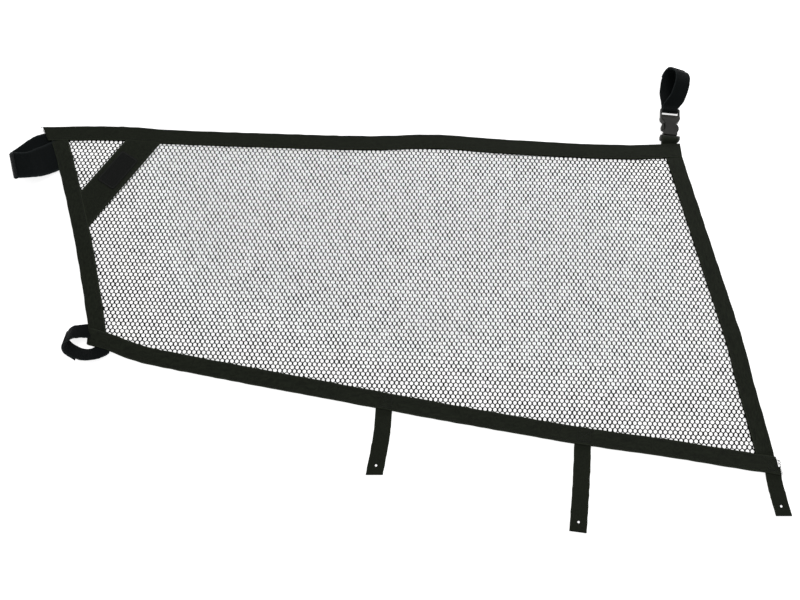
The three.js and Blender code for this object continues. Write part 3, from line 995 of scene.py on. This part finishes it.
# Round the male half's bar, in the buckle strap's own frame, and back in under the border
ANCHOR = [
    (0, -9, 2.0, 1, 0.16, 0),
    (0, 0.4, 1.7, 1, 0.16, 0),
    (0, 5.2, 1.0, 1, 0, 0),
    (0, 9.2, 1.1, 1, 0, 0),
    (0, 10.1, 3.2, 1, 0, 0),
    (0, 10.1, 5.8, 1, 0, 0),
    (0, 10.1, 8.8, 1, 0, 0),
    (0, 8.9, 10.9, 1, 0, 0),
    (0, 6.2, 11.1, 1, 0, 0),
    (0, 3, 10, 1, 0.04, 0),
    (0, 1.2, 6.8, 1, 0.13, 0),
    (0, -0.6, 4.2, 1, 0.16, 0),
    (0, -9, 2.8, 1, 0.16, 0),
]
BUCKLE_AT = np.array([440.6, 272.8])
BUCKLE_TURN = math.radians(-6.3)


def buckle_to_plan(vectors, moved=True):
    """From the buckle strap's own frame (X across, Y away from the border) to the plan."""
    v = np.atleast_2d(np.asarray(vectors, float)).copy()
    c, s = math.cos(BUCKLE_TURN), math.sin(BUCKLE_TURN)
    x, y = v[:, 0].copy(), v[:, 1].copy()
    v[:, 0], v[:, 1] = x * c - y * s, x * s + y * c
    if moved:
        v[:, :2] += BUCKLE_AT
    return v


def strap_lines(strap, count):
    """A strap's middle line and the directions over its width."""
    stations = np.array(strap["stations"])
    middle, across = spline(stations[:, :3], count), spline(stations[:, 3:], count)
    if strap["seam"] is None:
        middle, across = buckle_to_plan(middle), buckle_to_plan(across, moved=False)
    return middle, across


STRAP_STEPS = 160
TAIL_GAP = 0.25  # between a strap and its tail
TAIL_WIDTH = 0.93  # as a share of the strap's width
TAIL_THICK = 0.9  # as a share of its thickness
TIP_FROM = 0.72  # the share of a tail where its tip starts to lift
TIP_LIFT = 1.6


def straps():
    """Each strap is a loop of one ribbon with its closing tail on it."""
    for number, (name, strap) in enumerate(STRAPS.items()):
        count = STRAP_STEPS
        middle, across = strap_lines(strap, count)
        loop = ribbon(f"strap_{name}", middle, across, strap["width"], STRAP_THICK, NAPPED,
                      edge_ripple=0.3, face_ripple=0.12, seed=300 + 20 * number, most_skew=strap["skew"])
        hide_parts(f"{name}_loop")
        if strap["seam"]:
            sew_to_net(loop)
        else:
            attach(loop, f"{name}_strap")
        up = np.cross(np.gradient(middle, axis=0), across)
        up /= np.linalg.norm(up, axis=1)[:, None]
        start, end = (round(share * count) for share in strap["tail"])
        part = slice(start, end + 1)
        tip = np.linspace(0, 1, end + 1 - start)
        tip = 1 - tip if strap["tip"] == "start" else tip
        lift = STRAP_THICK + TAIL_GAP + TIP_LIFT * np.clip((tip - TIP_FROM) / (1 - TIP_FROM), 0, 1) ** 2
        beside = across[part] / np.linalg.norm(across[part], axis=1)[:, None] * strap["slide"]
        tail = ribbon(f"strap_tail_{name}", middle[part] + up[part] * lift[:, None] + beside, across[part],
                      strap["width"] * TAIL_WIDTH, STRAP_THICK * TAIL_THICK, HOOKED, edge_ripple=0.3,
                      face_ripple=0.1, seed=310 + 20 * number, most_skew=strap["skew"])
        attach(tail, f"{name}_tail")
        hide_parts(f"{name}_hook_tail")


def sew_to_net(loop):
    """Bakes the strap's place into its mesh."""
    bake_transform(loop)


# ---------------------------------------------------------------- buckle
def buckle():
    """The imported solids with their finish, and the webbing that anchors the male half."""
    for name in ("buckle_male_half", "buckle_left_arm", "buckle_right_arm", "buckle_female_half"):
        node = frame["nodes"][name]
        node.data.materials.clear()
        node.data.materials.append(PLASTIC)
    stations = np.array(ANCHOR)
    middle = buckle_to_plan(spline(stations[:, :3], 90))
    across = buckle_to_plan(spline(stations[:, 3:], 90), moved=False)
    anchor = ribbon("webbing_buckle_anchor", middle, across, WEB, WEB_THICK, WEBBING,
                    edge_ripple=0.2, face_ripple=0.05, seed=410)
    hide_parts("buckle_anchor_webbing")
    ends = buckle_to_plan([(0, 0.2, 0), (0, 2.6, 0)])  # two points along it, near the border's edge
    place(ends[0])
    place(ends[1])
    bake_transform(anchor)


studio()
border()
border_stitching()
frayed("top", 71)
frayed("bottom", 72)
mesh_panel()
gusset()
label()
tabs()
tab_stitching()
straps()
buckle()
